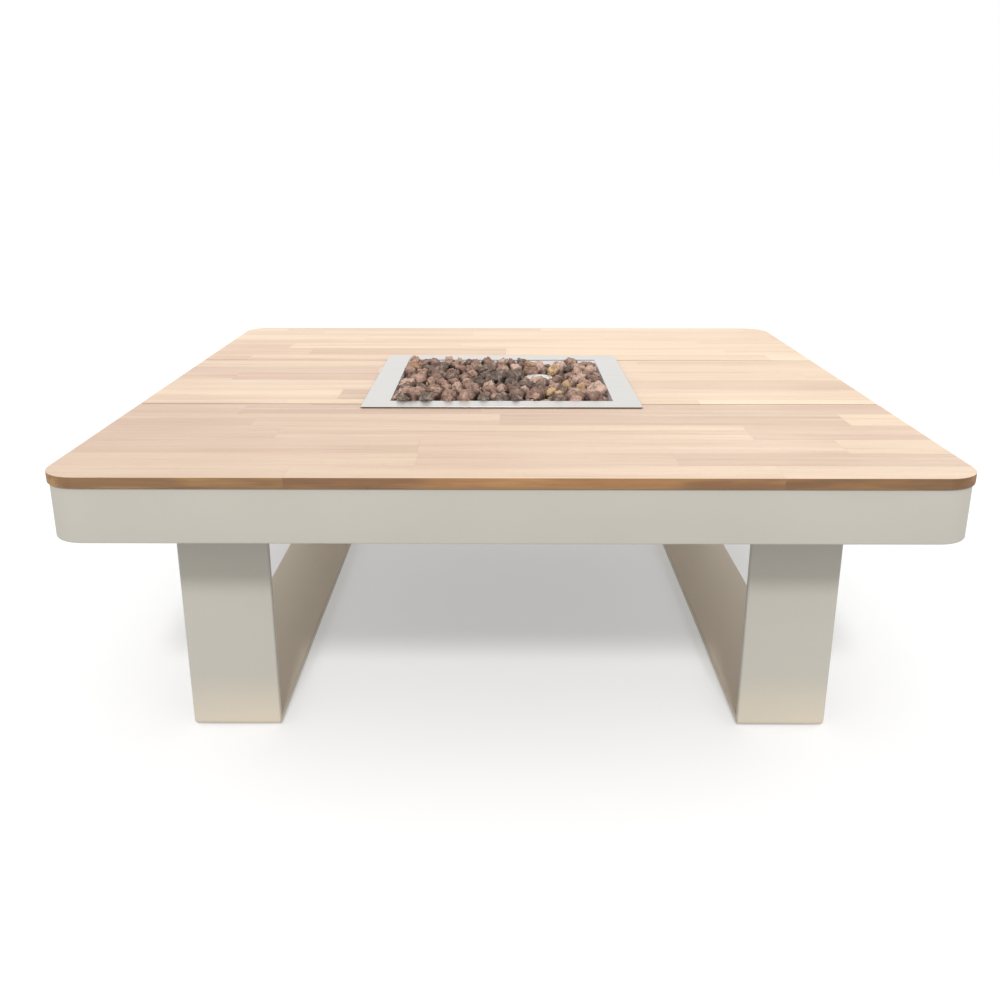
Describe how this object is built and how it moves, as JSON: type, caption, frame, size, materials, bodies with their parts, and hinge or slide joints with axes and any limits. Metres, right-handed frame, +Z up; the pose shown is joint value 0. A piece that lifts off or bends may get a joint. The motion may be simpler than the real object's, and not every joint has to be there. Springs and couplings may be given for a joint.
{
  "type": "fire pit table",
  "caption": "Square gas fire pit table: timber board top on a hollow metal frame and two flat loop legs, with a drop-in steel burner pan, lift-out lava grate and side controls.",
  "frame": {"origin": "on the floor under the middle of the square top", "axes": "+Z up, +X towards the control side, +Y towards the back; the leg loops run along Y"},
  "size_m": [1.2145, 1.2, 0.451],
  "materials": {
    "powder_coat": "fine matt pebble-grey powder coat",
    "inner_frame": "matt powder coat",
    "timber": "pale brushed hardwood, oiled, with glued staves",
    "fasteners": "bright zinc",
    "glides": "matt",
    "gasket": "matt",
    "pan_steel": "brushed stainless",
    "zinc_sheet": "galvanised",
    "burner_steel": "heat-dulled stainless",
    "brass": "machined",
    "copper": "drawn copper tube",
    "porcelain": "unglazed",
    "lead_jacket": "silicone",
    "knob_black": "satin",
    "button_chrome": "polished",
    "lava": "rough porous lava rock"
  },
  "bodies": {
    "frame": {"apron_front": "powder_coat", "apron_back": "powder_coat", "apron_left": "powder_coat", "apron_right": "powder_coat", "apron_corner_front_left": "powder_coat", "apron_corner_front_right": "powder_coat", "apron_corner_back_left": "powder_coat", "apron_corner_back_right": "powder_coat", "leg_post_front_left": "powder_coat", "leg_post_front_right": "powder_coat", "leg_post_back_left": "powder_coat", "leg_post_back_right": "powder_coat", "leg_runner_left": "powder_coat", "leg_runner_right": "powder_coat", "leg_head_left": "powder_coat", "leg_head_right": "powder_coat", "leg_rail_left": "inner_frame", "leg_rail_right": "inner_frame", "burner_rail_left": "inner_frame", "burner_rail_right": "inner_frame", "burner_rail_front": "inner_frame", "burner_rail_back": "inner_frame", "board_rails": "inner_frame", "board_clips": "inner_frame", "board_front": "timber", "board_back": "timber", "board_left": "timber", "board_right": "timber", "leg_bolts": "fasteners", "leg_nuts": "fasteners", "board_screws": "fasteners", "housing_screws": "fasteners", "control_screws": "fasteners", "knob_spring": "fasteners", "foot_glides": "glides", "flange_gasket": "gasket", "grommets": "gasket", "burner_pan": "pan_steel", "pilot_hood": "pan_steel", "control_plate": "pan_steel", "burner_housing": "zinc_sheet", "valve_bracket": "zinc_sheet", "ring_burner": "burner_steel", "mixer_tube": "burner_steel", "injector": "brass", "pipe_nuts": "brass", "burner_locknut": "brass", "gas_valve": "brass", "valve_cap": "brass", "gas_inlet": "brass", "gas_pipe": "copper", "thermocouple": "copper", "igniter_electrode": "porcelain", "igniter_lead": "lead_jacket", "igniter_body": "knob_black"},
    "valve_core": {"valve_plug": "brass"},
    "knob": {"control_knob": "knob_black"},
    "igniter_key": {"igniter_button": "button_chrome"},
    "lava_bed": {"lava_grate": "burner_steel", "lava_stones": "lava"}
  },
  "joints": [
    {"name": "knob_turn", "type": "hinge", "parent": "frame", "child": "valve_core", "pos_m": [0.53, 0, 0.3815], "axis": [1, 0, 0], "range_deg": [0, 180]},
    {"name": "knob_push", "type": "slide", "parent": "valve_core", "child": "knob", "axis": [-1, 0, 0], "range_m": [0, 0.004], "stiffness_N_per_m": 800, "springref_m": -0.003, "deforming": ["knob_spring"]},
    {"name": "igniter_push", "type": "slide", "parent": "frame", "child": "igniter_key", "axis": [-1, 0, 0], "range_m": [0, 0.005], "stiffness_N_per_m": 600, "springref_m": -0.003},
    {"name": "grate_lift", "type": "slide", "parent": "frame", "child": "lava_bed", "axis": [0, 0, 1], "range_m": [0, 0.1]}
  ]
}
